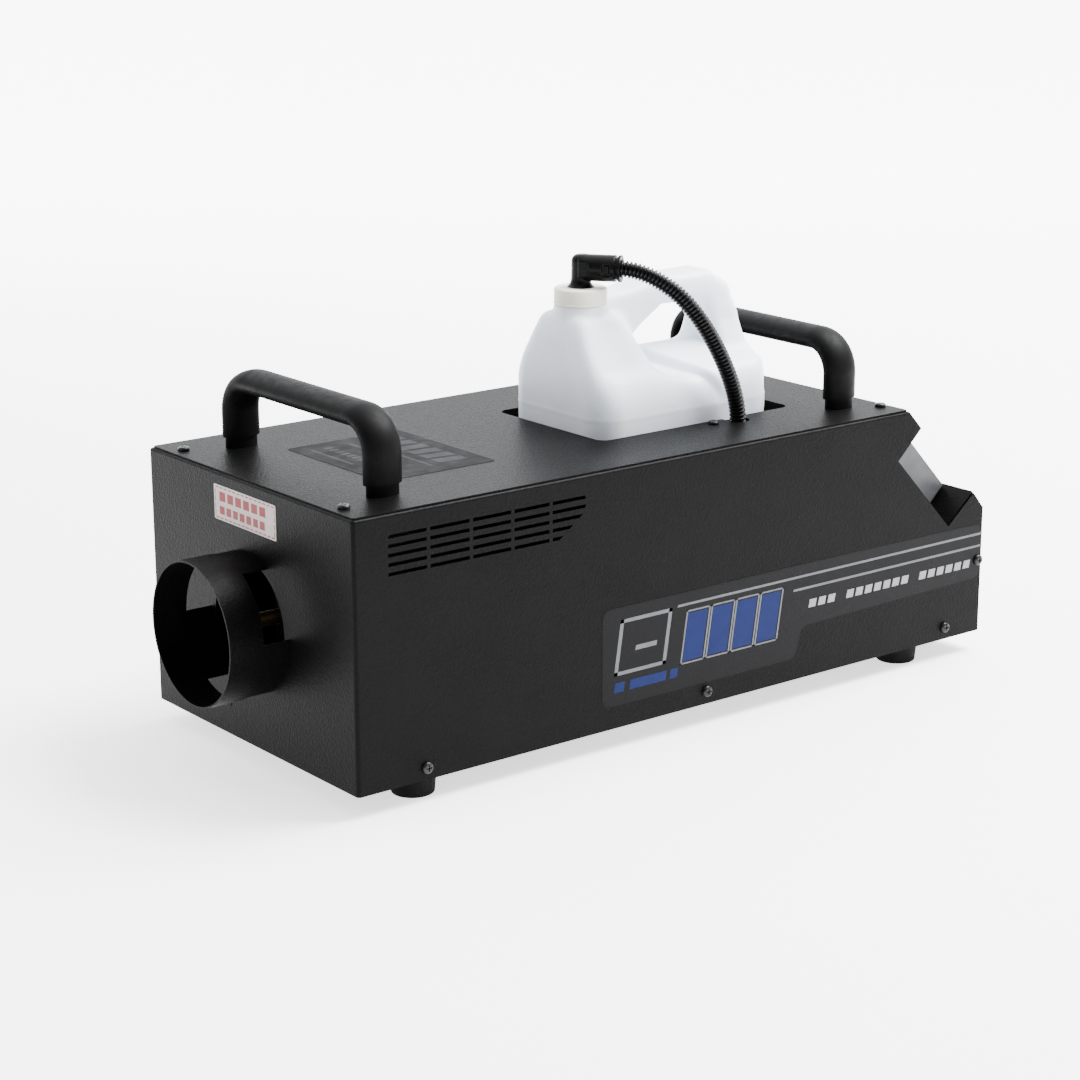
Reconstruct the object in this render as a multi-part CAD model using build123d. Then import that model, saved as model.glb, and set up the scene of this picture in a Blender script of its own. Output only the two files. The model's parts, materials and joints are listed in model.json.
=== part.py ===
from build123d import *
import math
import os

# A stage fog machine: a bent-steel case with a nozzle and duct collar at the front (-Y),
# a fluid jug standing in a well in the deck, two arched handles, and a control module
# docked in a slanted cradle at the rear (+Y). X runs across, +Z is up. All sizes in mm.
#
# Parts are drawn in case coordinates: y = 0 is the front panel, z = 0 the case's lower
# edge, x = 0 its middle. place() then shifts them to the row frame, whose origin is the
# middle of the footprint at the floor.

# Case
CASE_W = 293.0
CASE_L = 669.0
WRAP_H = 213.5
SHEET = 1.2
COVER_T = 1.5
DECK_Z = WRAP_H + COVER_T
COVER_END = 571.5
COVER_INSET = 2.6
TOP_BEND_R = 2.0
FLANGE_W = 16.0
INSIDE_X = CASE_W / 2 - SHEET

# Duct collar and nozzle share one axis
OUTLET_Z = 101.7
COLLAR_R = 57.8
COLLAR_T = 1.4
COLLAR_REACH = 52.7
COLLAR_TAB = 23.0
TAB_STEP = 0.6
EYELET_R = 5.0
OUTLET_HOLE_R = 50.0

# Pump axis
PUMP_X = 104.0
PUMP_Z = 36.0

# Feet
FOOT_H = 18.0
FOOT_R = 18.5
FOOT_X = 120.0
FOOT_Y = (68.0, 592.0)

# Handles
HANDLE_Y = (59.0, 532.5)
LEG_X = 100.0
BAR_Z = 272.0
GRIP_ALONG = 33.0
GRIP_THICK = 19.5
BEND_R = 27.0
LEG_BASE_H = 9.0

# Deck cut-out, well and jug
CUT_X = (-70.0, 71.0)
CUT_Y = (295.0, 503.0)
CUT_R = 9.0
NOTCH_R = 9.5
WELL_FLOOR = 72.0
JUG_X = (-60.0, 67.0)
JUG_Y = (298.0, 489.0)
JUG_R = 24.0
JUG_FLOOR = WELL_FLOOR + 0.4
JUG_SHOULDER = 250.0
JUG_WALL = 2.0
TOWER_HALF_X = 30.0
TOWER_TOP_Y = (304.0, 352.0)
SADDLE_Z = 271.0
SADDLE_TOP_Y = (330.0, 474.0)
GRIP_HALF_X = 20.0
NECK = (4.4, 325.9)
NECK_Z = 308.0
CAP_R = 22.4
CAP_Z = (315.8, 329.5)

# Elbow and corrugated hose
ELBOW_Z = 345.5
ELBOW_TURN = 38.0
ELBOW_ARM = 34.7
ELBOW_R = 11.1
STEM_R = 7.8
HOSE_R = 7.0
HOSE_HOLE = (81.5, 434.0)
HOSE_IN_ELBOW = (ELBOW_ARM - 11.0, ELBOW_ARM + 2.5)
HOSE_ROUTE = [
    (43.0, 358.5, 343.0),
    (55.0, 370.0, 335.5),
    (65.0, 383.5, 323.0),
    (72.5, 397.5, 304.0),
    (77.5, 411.0, 281.0),
    (80.6, 424.0, 254.0),
    (81.5, 432.8, 228.0),
    (81.5, 434.0, 201.0),
    (81.5, 434.0, 176.0),
]

# Slanted dock for the control module, drawn across the case
DOCK_TILT = 43.3
DOCK_MID = (592.6, 137.6)
DOCK_LENGTH = 94.6
MODULE_W = 230.0
MODULE_H = 93.0
MODULE_FACE = 37.4
MODULE_SPLIT = 22.0
KEY_X = (-18.0, 14.0, 46.0, 78.0)
KEY_SIZE = (20.0, 12.0)
KEY_ALONG = 12.0
DISPLAY_AT = (-68.0, -10.0)
DISPLAY_SIZE = (66.0, 26.0)

# Rear wall fittings
FAN_C = (0.0, 52.0)
FAN_SIZE = 80.0
FAN_R = 37.0
INLET_C = (-108.0, 58.0)
BREAKER_C = (-68.0, 82.0)
ROCKER_C = (-68.0, 38.0)
XLR_C = ((72.0, 58.0), (108.0, 58.0))

# Screws
SIDE_SCREWS = ((63.0, 10.0), (345.0, 11.0), (625.0, 11.0), (664.0, 66.0))
COVER_SCREWS = ((115.0, 14.0), (80.5, 407.0), (120.0, 563.0))
SCREW_HEAD_R = 4.8
SCREW_HEAD_H = 3.0

# Row frame: the middle of the length from the collar's mouth to the rear fittings
REAR_REACH = 3.0
Y_MID = (CASE_L + REAR_REACH - COLLAR_REACH) / 2

PARTS = {}


# ---------------------------------------------------------------------------- helpers
def keep(node, *solids):
    """Stores one node, made of one or more separate solids."""
    shape = solids[0] if len(solids) == 1 else Compound(list(solids))
    PARTS[node] = shape


def place(shape):
    """Case coordinates to the row frame."""
    return shape.moved(Location((0, -Y_MID, FOOT_H)))


def block(x, y, z):
    """A box from its (low, high) span on each axis."""
    middle = [(a + b) / 2 for a, b in (x, y, z)]
    return Pos(*middle) * Box(x[1] - x[0], y[1] - y[0], z[1] - z[0])


def rod(start, axis, radius, length):
    """A cylinder that starts at a point and runs along an axis."""
    lower = (Align.CENTER, Align.CENTER, Align.MIN)
    return Plane(origin=start, z_dir=axis) * Cylinder(radius, length, align=lower)


def ring(start, axis, outer, inner, length):
    """A tube that starts at a point and runs along an axis."""
    return rod(start, axis, outer, length) - rod(start, axis, inner, length)


def across(sketch, low, high):
    """A (y, z) sketch extruded across the case from x = low to x = high."""
    return Pos(low, 0, 0) * extrude(Plane.YZ * sketch, amount=high - low, dir=(1, 0, 0))


def upright(x, y, z, radius):
    """A box with rounded vertical edges."""
    plan = RectangleRounded(x[1] - x[0], y[1] - y[0], radius)
    middle = ((x[0] + x[1]) / 2, (y[0] + y[1]) / 2, z[0])
    return Pos(*middle) * extrude(plan, amount=z[1] - z[0])


def taper(low, high):
    """A loft between two rounded rectangles, each (x span, y span, z, radius)."""
    faces = []
    for x, y, z, radius in (low, high):
        plan = RectangleRounded(x[1] - x[0], y[1] - y[0], radius)
        faces.append(Pos((x[0] + x[1]) / 2, (y[0] + y[1]) / 2, z) * plan)
    return loft(faces)


def pipe(points, radii, outer, inner=0.0):
    """A round tube or rod along straight runs joined by tangent arcs."""
    path = FilletPolyline(*points, radius=radii)
    start = Plane(origin=path @ 0, z_dir=path % 0)
    body = sweep(start * Circle(outer), path=path)
    return body - sweep(start * Circle(inner), path=path) if inner else body


def arc_radii(points):
    """One arc radius for each corner of a route, as large as its two runs allow."""
    radii = []
    for a, b, c in zip(points, points[1:], points[2:]):
        before = Vector(*b) - Vector(*a)
        after = Vector(*c) - Vector(*b)
        turn = math.radians(before.get_angle(after))
        radii.append(0.45 * min(before.length, after.length) / math.tan(turn / 2))
    return radii


def pan_screw(point, axis, shank_r=1.9, shank_length=9.0, head_r=SCREW_HEAD_R):
    """A pan-head cross-recess screw; point is under its head, axis points out of the head."""
    seat = Plane(origin=point, z_dir=axis)
    head = extrude(Circle(head_r), amount=SCREW_HEAD_H)
    head = fillet(head.edges().group_by(Axis.Z)[-1], SCREW_HEAD_H * 0.7)
    shank = Pos(0, 0, -shank_length / 2) * Cylinder(shank_r, shank_length)
    slot = Pos(0, 0, SCREW_HEAD_H) * Box(head_r * 1.15, 1.1, 2.6)
    return seat * (head + shank - slot - Rot(0, 0, 90) * slot)


def dock(x, along, out):
    """A point of the dock: across, down along its back wall, and out of it."""
    tilt = math.radians(DOCK_TILT)
    y = DOCK_MID[0] + along * math.sin(tilt) + out * math.cos(tilt)
    z = DOCK_MID[1] - along * math.cos(tilt) + out * math.sin(tilt)
    return (x, y, z)


def dock_plane():
    """The dock's back wall: local x runs across, local y down the wall, local z out of it."""
    tilt = math.radians(DOCK_TILT)
    return Plane(origin=dock(0, 0, 0), x_dir=(1, 0, 0), z_dir=(0, math.cos(tilt), math.sin(tilt)))


# ------------------------------------------------------------------------------- case
def rear_line():
    """The bent line of the rear panel, from under the cover down to the floor of the case."""
    half = DOCK_LENGTH / 2
    top, low = dock(0, -half, 0)[1:], dock(0, half, 0)[1:]
    nose, lip = dock(0, -half, 36.5)[1:], dock(0, half + 1.0, 39.5)[1:]
    under = WRAP_H - SHEET / 2
    wall = CASE_L - SHEET / 2
    fold = (lip[0] + 4.0, lip[1] - 3.6)
    foot = [(wall, fold[1] - 12.0), (wall, 0.8)]
    return [(548.0, under), (COVER_END, under), nose, top, low, lip, fold] + foot


def case_outline():
    """The side panel's outline: straight at the front, notched for the dock at the rear."""
    line = rear_line()
    sunk = [(y, z - 2.2) if i in (5, 6) else (y, z) for i, (y, z) in enumerate(line)]
    return [(0, 0), (0, WRAP_H), (COVER_END, WRAP_H)] + sunk[2:8] + [(CASE_L - SHEET / 2, 0)]


def vent_slots():
    """Five rows of cooling slots, cut off along a slant at their rear end."""
    rows, pitch, slot_h = 5, 7.2, 2.8
    top = 196.7
    low = top - (rows - 1) * pitch
    field = Polygon(
        (31, low - 1.4), (31, top), (33, top + 1.4), (216, top + 1.4), (219, top - 3.0),
        (214, top - 13.5), (191, low - 1.4), align=None)
    ends = (28.0, 67.5, 107.0, 146.0, 183.0, 222.0)
    bars = Sketch()
    for row in range(rows):
        for left, right in zip(ends, ends[1:]):
            bars += Pos((left + right) / 2, top - row * pitch) * Rectangle(right - left - 3.2, slot_h)
    return across(bars & field, -CASE_W, CASE_W)


def case_wrap():
    """One bent sheet: the front, both sides and the flanges that carry the cover."""
    half = CASE_W / 2
    shell = across(Polygon(*case_outline(), align=None), -half, half)
    front = shell.edges().filter_by(Axis.Z).group_by(Axis.Y)[0]
    shell = fillet(front, 3.0)
    shell = fillet(shell.faces().sort_by(Axis.Z)[-1].edges().sort_by(Axis.Y)[:-1], TOP_BEND_R)
    inner = block((-INSIDE_X, INSIDE_X), (SHEET, 700), (-1, WRAP_H - SHEET))
    window = block((FLANGE_W - INSIDE_X, INSIDE_X - FLANGE_W), (26, 700), (200, 220))
    rear = block((-INSIDE_X, INSIDE_X), (546, 700), (-1, 220))
    shell = shell - inner - window - rear - vent_slots()
    shell -= rod((0, -1, OUTLET_Z), (0, 1, 0), OUTLET_HOLE_R, 5)
    for y, z in SIDE_SCREWS:
        shell -= rod((-CASE_W, y, z), (1, 0, 0), 2.2, 2 * CASE_W)
    for x in (-1, 1):
        for sx, sy in COVER_SCREWS[::2]:
            shell -= rod((x * sx, sy, 205), (0, 0, 1), 2.2, 20)
    keep("case_wrap", shell)


def top_cover():
    """The flat deck plate, with the jug's cut-out and a notch for the hose."""
    half = CASE_W / 2 - COVER_INSET
    plate = block((-half, half), (COVER_INSET, COVER_END), (WRAP_H, DECK_Z))
    plate = fillet(plate.edges().filter_by(Axis.Z), 2.0)
    cut = upright(CUT_X, CUT_Y, (200, 230), CUT_R)
    x, y = HOSE_HOLE
    notch = rod((x, y, 200), (0, 0, 1), NOTCH_R, 30)
    notch += block((CUT_X[1] - 2, x), (y - NOTCH_R, y + NOTCH_R), (200, 230))
    plate = plate - cut - notch
    for side in (-1, 1):
        for sx, sy in COVER_SCREWS:
            plate -= rod((side * sx, sy, 200), (0, 0, 1), 2.2, 30)
        for sy in HANDLE_Y:
            plate -= rod((side * LEG_X, sy, 200), (0, 0, 1), 3.3, 30)
    keep("top_cover", plate)


def base_pan():
    """The floor tray, with an upturned rim that takes the side screws."""
    half = INSIDE_X - 0.2
    tray = block((-half, half), (SHEET + 0.2, CASE_L - SHEET - 0.2), (0, 18))
    tray -= block((-FAN_SIZE / 2 - 1, FAN_SIZE / 2 + 1), (CASE_L - 40, CASE_L), (1.5, 20))
    tray -= block((SHEET - half, half - SHEET), (2 * SHEET + 0.2, CASE_L - 2 * SHEET - 0.2), (1.5, 20))
    for y, z in SIDE_SCREWS[:3]:
        tray -= rod((-CASE_W, y, z), (1, 0, 0), 2.2, 2 * CASE_W)
    for x in (-FOOT_X, FOOT_X):
        for y in FOOT_Y:
            tray -= rod((x, y, -1), (0, 0, 1), 2.6, 4)
    keep("base_pan", tray)


def rear_openings():
    """The holes of the rear wall's fittings."""
    y = CASE_L - 6
    holes = rod((FAN_C[0], y, FAN_C[1]), (0, 1, 0), FAN_R, 12)
    x, z = INLET_C
    holes += block((x - 14.2, x + 14.2), (y, y + 12), (z - 10.7, z + 10.7))
    holes += rod((BREAKER_C[0], y, BREAKER_C[1]), (0, 1, 0), 5.8, 12)
    x, z = ROCKER_C
    holes += block((x - 10.7, x + 10.7), (y, y + 12), (z - 14.2, z + 14.2))
    for x, z in XLR_C:
        holes += rod((x, y, z), (0, 1, 0), 11.8, 12)
    x, z = XLR_C[0]
    holes += block((x - 4, x + 4), (y, y + 12), (z + 9, z + 14.2))
    for x, z in rear_screw_places():
        holes += rod((x, y, z), (0, 1, 0), 2.2, 12)
    return holes


def rear_screw_places():
    """The rear wall's four corner screws, as (x, z)."""
    return [(side * 138.0, height) for side in (-1, 1) for height in (22.0, 96.0)]


def rear_panel():
    """The rear sheet, folded forwards into the dock and down to the rear wall."""
    wide = INSIDE_X - 0.2
    sheet = across(trace(Polyline(*rear_line()), line_width=SHEET), -wide, wide)
    for side in (-1, 1):
        tab_x = sorted((side * wide, side * (wide - SHEET)))
        sheet += block(tab_x, (648, CASE_L - SHEET), (24, 100))
        sheet -= rod((side * 120.0, COVER_SCREWS[2][1], 200), (0, 0, 1), 2.2, 20)
        sheet -= rod((side * (wide + 2), SIDE_SCREWS[3][0], SIDE_SCREWS[3][1]), (-side, 0, 0), 2.2, 6)
    sheet -= rear_openings()
    sheet -= dock_plane() * Box(52, 16, 6)
    keep("rear_panel", sheet)


def tank_well():
    """The bin under the cut-out in which the jug stands."""
    outer_x = (CUT_X[0] - SHEET, CUT_X[1] + SHEET)
    outer_y = (CUT_Y[0] - SHEET, CUT_Y[1] + SHEET)
    well = upright(outer_x, outer_y, (WELL_FLOOR - SHEET, WRAP_H), CUT_R + SHEET)
    rim = upright((outer_x[0] - 14, outer_x[1] + 14), (outer_y[0] - 8, outer_y[1] + 8),
                  (WRAP_H - SHEET, WRAP_H), CUT_R)
    well = well + rim - upright(CUT_X, CUT_Y, (WELL_FLOOR, 230), CUT_R)
    x, y = HOSE_HOLE
    well -= rod((x, y, 190), (0, 0, 1), NOTCH_R + 0.3, 40)
    for side in (-1, 1):
        well -= rod((side * COVER_SCREWS[1][0], COVER_SCREWS[1][1], 200), (0, 0, 1), 2.2, 30)
    keep("tank_well", well)


def handle(node, y):
    """An arched carrying handle of oval section on two slimmer feet."""
    oval = Ellipse(GRIP_THICK / 2, GRIP_ALONG / 2)
    leg_top = BAR_Z - BEND_R
    reach = LEG_X - BEND_R
    bar = extrude(Plane(origin=(-reach, y, BAR_Z), x_dir=(0, 0, 1), z_dir=(1, 0, 0)) * oval, amount=2 * reach)
    shape = bar
    for side in (-1, 1):
        foot = Pos(side * LEG_X, y, DECK_Z)
        base = foot * extrude(Ellipse(GRIP_THICK / 2 - 1.4, GRIP_ALONG / 2 - 2.4), amount=LEG_BASE_H)
        leg = foot * Pos(0, 0, LEG_BASE_H) * extrude(oval, amount=leg_top - DECK_Z - LEG_BASE_H)
        corner = Pos(side * LEG_X, y, leg_top) * oval
        axis = Axis((side * reach, y, leg_top), (0, -side, 0))
        bend = revolve(corner, axis=axis, revolution_arc=90)
        shape = shape + base + leg + bend
    for side in (-1, 1):
        shape -= rod((side * LEG_X, y, DECK_Z - 1), (0, 0, 1), 3.05, 24)
    keep(node, shape)


def feet():
    """Four round rubber feet and the screws that hold them."""
    pads, screws = [], []
    for x in (-FOOT_X, FOOT_X):
        for y in FOOT_Y:
            pad = Pos(x, y, -FOOT_H / 2) * Cone(FOOT_R - 1.5, FOOT_R, FOOT_H)
            pad = fillet(pad.edges().group_by(Axis.Z)[0], 1.5)
            pad -= rod((x, y, -FOOT_H - 1), (0, 0, 1), 7.0, 11)
            pad -= rod((x, y, -FOOT_H - 1), (0, 0, 1), 2.6, 20)
            pads.append(pad)
            screws.append(pan_screw((x, y, -8.0), (0, 0, -1), shank_r=2.4, shank_length=14.0))
    keep("feet", *pads)
    keep("foot_screws", *screws)


def fasteners():
    """Cover, side, rear and handle screws."""
    cover, side_set, bolts = [], [], []
    for side in (-1, 1):
        for x, y in COVER_SCREWS:
            cover.append(pan_screw((side * x, y, DECK_Z), (0, 0, 1)))
        for y, z in SIDE_SCREWS:
            side_set.append(pan_screw((side * CASE_W / 2, y, z), (side, 0, 0)))
        for y in HANDLE_Y:
            bolts.append(pan_screw((side * LEG_X, y, WRAP_H), (0, 0, -1), 3.0, 22.0, head_r=6.0))
    keep("cover_screws", *cover)
    keep("side_screws", *side_set)
    keep("handle_bolts", *bolts)


# ---------------------------------------------------------------- outlet and exchanger
def duct_collar():
    """The duct's collar: a full ring on three tabs welded to the front panel, with a small eyelet."""
    back = (0, 1, 0)
    shape = ring((0, -COLLAR_REACH, OUTLET_Z), back, COLLAR_R, COLLAR_R - COLLAR_T, COLLAR_REACH - COLLAR_TAB)
    rear = ring((0, -COLLAR_TAB, OUTLET_Z), back, COLLAR_R - TAB_STEP, COLLAR_R - COLLAR_T, COLLAR_TAB)
    far = 80.0
    for first in (0, 120, 240):
        corners = [(0, 0)]
        for step in range(0, 61, 20):
            turn = math.radians(first + step)
            corners.append((far * math.cos(turn), far * math.sin(turn)))
        window = extrude(Plane.XZ * Polygon(*corners, align=None), amount=COLLAR_TAB, dir=(0, -1, 0))
        rear -= Pos(0, 0, OUTLET_Z) * window
    eyelet_y = 1.0 - COLLAR_TAB
    eyelet_z = OUTLET_Z - COLLAR_R - 1.5
    eyelet = rod((0, eyelet_y, eyelet_z), back, EYELET_R, SHEET)
    eyelet -= rod((0, eyelet_y - 1, eyelet_z - 1.5), back, 2.0, 4)
    eyelet -= rod((0, eyelet_y - 1, OUTLET_Z), back, COLLAR_R - COLLAR_T, 4)
    keep("duct_collar", shape + rear + eyelet)


def nozzle():
    """The brass fog nozzle and the lock nut that holds it to the exchanger."""
    axis = (0, -1, 0)
    tube = rod((0, 64, OUTLET_Z), axis, 6.0, 66) + Pos(0, -5, OUTLET_Z) * Rot(90, 0, 0) * Cone(6.0, 3.6, 6)
    tube += Pos(0, 50, OUTLET_Z) * Rot(90, 0, 0) * extrude(RegularPolygon(10, 6), amount=6, both=True)
    tube -= rod((0, 70, OUTLET_Z), axis, 1.5, 90)
    keep("nozzle", tube)
    nut = Pos(0, 39, OUTLET_Z) * Rot(90, 0, 0) * extrude(RegularPolygon(11, 6), amount=3, both=True)
    keep("nozzle_nut", nut - rod((0, 60, OUTLET_Z), axis, 6.0, 40))


def exchanger():
    """The cast heating block, its heater rods, thermostat, insulation and jacket."""
    mid = OUTLET_Z
    body = block((-35, 35), (64, 244), (mid - 35, mid + 35))
    body = fillet(body.edges().filter_by(Axis.Y), 6)
    body -= rod((0, 60, mid), (0, 1, 0), 6.0, 16)
    rods = []
    for x in (-18, 18):
        body -= rod((x, 80, mid - 12), (0, 1, 0), 6.1, 170)
        rods.append(rod((x, 82, mid - 12), (0, 1, 0), 6.0, 176))
    body -= rod((0, 230, mid + 16), (0, 1, 0), 3.0, 20)
    keep("heat_exchanger", body)
    keep("heater_rods", *rods)
    disc = rod((22, 244, mid + 20), (0, 1, 0), 8.0, 6) + block((18, 26), (249, 256), (mid + 18, mid + 22))
    keep("thermostat", disc)
    cavity = block((-35.2, 35.2), (60, 250), (mid - 35.2, mid + 35.2))
    keep("insulation_upper", block((-52, 52), (66, 242), (mid + 0.2, mid + 52)) - cavity)
    keep("insulation_lower", block((-52, 52), (66, 242), (mid - 52, mid - 0.2)) - cavity)
    jacket = block((-53.4, 53.4), (57, 268), (mid - 53.4, mid + 53.4))
    jacket -= block((-52.2, 52.2), (58.2, 266.8), (mid - 52.2, mid + 52.2))
    jacket -= rod((0, 50, mid), (0, 1, 0), 14, 12)
    jacket -= block((-30, 30), (260, 275), (mid - 25, mid + 30))
    keep("exchanger_jacket", jacket)
    legs = []
    for y in (80, 226):
        for x in (-44, 44):
            legs.append(block((x - 7, x + 7), (y - 7, y + 7), (1.5, mid - 53.4)))
    keep("exchanger_legs", *legs)


# ------------------------------------------------------------------------ pump and tubes
def pump():
    """An oscillating piston pump: body, coil, plunger and cradle."""
    back = (0, 1, 0)
    body = rod((PUMP_X, 330, PUMP_Z), back, 12.0, 84)
    body += rod((PUMP_X, 318, PUMP_Z), back, 4.0, 14) + rod((PUMP_X, 412, PUMP_Z), back, 4.0, 14)
    body -= rod((PUMP_X, 345, PUMP_Z), back, 7.05, 56)
    body -= rod((PUMP_X, 300, PUMP_Z), back, 2.0, 140)
    keep("pump_body", body)
    coil = block((PUMP_X - 20, PUMP_X + 20), (352, 390), (PUMP_Z - 20, PUMP_Z + 20))
    coil = fillet(coil.edges().filter_by(Axis.Y), 4)
    keep("pump_coil", coil - rod((PUMP_X, 340, PUMP_Z), back, 12.0, 60))
    keep("pump_plunger", ring((PUMP_X, 352, PUMP_Z), back, 7.0, 2.5, 36))
    cradle = block((PUMP_X - 20, PUMP_X + 20), (336, 400), (1.5, 4.0))
    for y in (338, 394):
        cradle += block((PUMP_X - 16, PUMP_X + 16), (y, y + 6), (1.5, PUMP_Z))
    keep("pump_cradle", cradle - rod((PUMP_X, 330, PUMP_Z), back, 12.0, 84))


def tubes():
    """The suction tube from the hose socket and the pressure tube to the exchanger."""
    hx, hy = HOSE_HOLE
    suction = [(hx, hy, 152), (hx, hy, 118), (hx + 9, hy + 12, 84), (hx + 20, hy + 26, 56),
               (PUMP_X, 452, PUMP_Z), (PUMP_X, 426, PUMP_Z)]
    keep("suction_tube", pipe(suction, arc_radii(suction), 3.5, 2.0))
    pressure = [(PUMP_X, 318, PUMP_Z), (PUMP_X, 296, PUMP_Z), (PUMP_X - 16, 283, 50), (PUMP_X - 50, 282, 84),
                (14, 284, OUTLET_Z + 16), (0, 270, OUTLET_Z + 16), (0, 232, OUTLET_Z + 16)]
    keep("pressure_tube", pipe(pressure, arc_radii(pressure), 2.5, 1.5))
    socket = rod((hx, hy, 158), (0, 0, 1), 8.8, 26) + rod((hx, hy, 152), (0, 0, 1), 5.5, 8)
    socket -= rod((hx, hy, 172), (0, 0, 1), 7.6, 20)
    socket -= rod((hx, hy, 140), (0, 0, 1), 2.0, 40)
    bracket = block((hx - 3, INSIDE_X - 0.4), (hy - 6, hy + 6), (160, 163))
    socket += bracket - rod((hx, hy, 140), (0, 0, 1), 8, 40)
    keep("hose_socket", socket)


# -------------------------------------------------------------------------- jug and hose
def jug_skin(inset):
    """The jug's outer form, or its hollow when inset by the wall: body, tower and saddle."""
    x = (JUG_X[0] + inset, JUG_X[1] - inset)
    y = (JUG_Y[0] + inset, JUG_Y[1] - inset)
    turn_r = JUG_R - inset
    top_x = (NECK[0] - TOWER_HALF_X + inset, NECK[0] + TOWER_HALF_X - inset)
    top_y = (TOWER_TOP_Y[0] + inset, TOWER_TOP_Y[1] - inset)
    shoulder = JUG_SHOULDER - (1.5 if inset else 0.0)
    body = upright(x, y, (JUG_FLOOR + inset, shoulder), turn_r)
    tower = taper((x, (y[0], 420 - inset), shoulder - 1, turn_r), (top_x, top_y, NECK_Z - inset, 18))
    saddle = taper((x, y, shoulder - 1, turn_r), (top_x, SADDLE_TOP_Y, SADDLE_Z - inset, 20))
    return body + tower + saddle


def jug():
    """The blow-moulded jug: square shoulders up to the neck, and a hollow-eyed grip behind it."""
    mid, neck_y = NECK
    grip = Polygon((335, 262), (352, 306), (363, 321), (392, 331.5), (456, 331.5), (474, 326),
                   (482.5, 312), (488, 290), (489, 255), align=None)
    root = Polygon((345, 262), (345, 300), (357, 318), (375, 322), (405, 308), (392, 262), align=None)
    eye = Polygon((388, 273.5), (379.5, 284), (403, 308), (437, 308.5), (452, 292), (448, 273.5), align=None)
    eye = fillet(eye.vertices(), 5)
    shape = jug_skin(0.0) + across(grip, mid - GRIP_HALF_X, mid + GRIP_HALF_X)
    shape += across(root, mid - 17, mid + 17)
    shape -= across(eye, mid - 70, mid + 70)
    shape += rod((mid, neck_y, NECK_Z - 4), (0, 0, 1), CAP_R - 0.2, 11.4)
    shape += rod((mid, neck_y, NECK_Z), (0, 0, 1), 19.5, 18)
    hollow = jug_skin(JUG_WALL) - across(offset(eye, JUG_WALL), mid - 70, mid + 70)
    hollow += rod((mid, neck_y, NECK_Z - 12), (0, 0, 1), 16.8, 40)
    keep("jug", shape - hollow)


def cap_and_elbow():
    """The cap, the elbow fitting through it, its nut, and the pick-up tube and filter."""
    x, y = NECK
    up = (0, 0, 1)
    cap = ring((x, y, CAP_Z[0]), up, CAP_R, 20.0, CAP_Z[1] - CAP_Z[0])
    cap += ring((x, y, CAP_Z[1] - 2.4), up, CAP_R, STEM_R + 0.4, 2.4)
    keep("jug_cap", fillet(cap.edges().group_by(Axis.Z)[-1].sort_by(SortBy.LENGTH)[-1], 1.2))
    turn = math.radians(ELBOW_TURN)
    way = (math.cos(turn), math.sin(turn), 0)
    off = (way[1], -way[0], 0)

    def arm_at(reach, sideways=0.0):
        return (x + way[0] * reach + off[0] * sideways, y + way[1] * reach + off[1] * sideways, ELBOW_Z)

    stem = rod((x, y, 318), up, STEM_R, ELBOW_Z + ELBOW_R - 318)
    stem = fillet(stem.edges().group_by(Axis.Z)[-1], 6.0)
    elbow = stem + rod((x, y, CAP_Z[1] + 0.4), up, ELBOW_R, 1.6)
    arm = rod(arm_at(0), way, ELBOW_R, ELBOW_ARM - 4.6)
    for side in (-1, 1):
        arm -= rod(arm_at(3.2, side * 9.0), tuple(side * c for c in off), 6.4, 6)
    elbow += arm + rod(arm_at(ELBOW_ARM - 5), way, 8.6, 4.0) + rod(arm_at(ELBOW_ARM - 2.4), way, ELBOW_R, 2.4)
    elbow -= rod(arm_at(ELBOW_ARM - 12), way, HOSE_R + 0.3, 20)
    elbow -= rod((x, y, 310), up, 4.0, ELBOW_Z - 310)
    elbow -= rod(arm_at(0), way, 4.0, 40)
    latch = Plane(origin=arm_at(23.3), x_dir=way, z_dir=off)
    keep("cap_elbow", elbow - latch * (Pos(0, 0, 11) * Box(7.2, 11, 4)))
    keep("elbow_nut", ring((x, y, 318.5), up, 14.0, STEM_R, 7.5))
    keep("pickup_tube", ring((x, y, 92), up, 4.0, 2.6, 232))
    strainer = ring((x, y, JUG_FLOOR + 6), up, 9.0, 4.0, 24)
    keep("pickup_filter", strainer + rod((x, y, JUG_FLOOR + 4), up, 9.0, 3))


def hose():
    """The corrugated hose from the elbow down through the deck to its socket."""
    turn = math.radians(ELBOW_TURN)
    route = []
    for reach in HOSE_IN_ELBOW:
        route.append((NECK[0] + math.cos(turn) * reach, NECK[1] + math.sin(turn) * reach, ELBOW_Z))
    route += HOSE_ROUTE
    keep("hose", pipe(route, arc_radii(route), HOSE_R, 5.0))


# --------------------------------------------------------------------------- electronics
def electronics():
    """The control board on its standoffs, and the transformer."""
    board = block((-132, -22), (300, 440), (12, 13.6))
    for x, y, r, h in ((-110, 320, 8, 24), (-88, 320, 8, 24), (-110, 345, 6, 18)):
        board += rod((x, y, 13.6), (0, 0, 1), r, h)
    for x, y in ((-60, 320), (-60, 352), (-60, 384)):
        board += block((x - 14, x + 14), (y - 12, y + 12), (13.6, 31))
    board += block((-128, -120), (360, 430), (13.6, 24)) + block((-100, -80), (400, 420), (13.6, 17))
    corners = [(x, y) for x in (-128, -26) for y in (304, 436)]
    posts = []
    for x, y in corners:
        board -= rod((x, y, 5), (0, 0, 1), 1.6, 20)
        posts.append(rod((x, y, 1.5), (0, 0, 1), 4, 10.5) + rod((x, y, 12), (0, 0, 1), 1.5, 4))
    keep("control_board", board)
    keep("board_standoffs", *posts)
    core = block((-125, -65), (520, 570), (1.5, 42)) + block((-117, -73), (512, 578), (9, 34))
    keep("transformer", core + block((-137, -53), (528, 562), (1.5, 4)))


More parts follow.
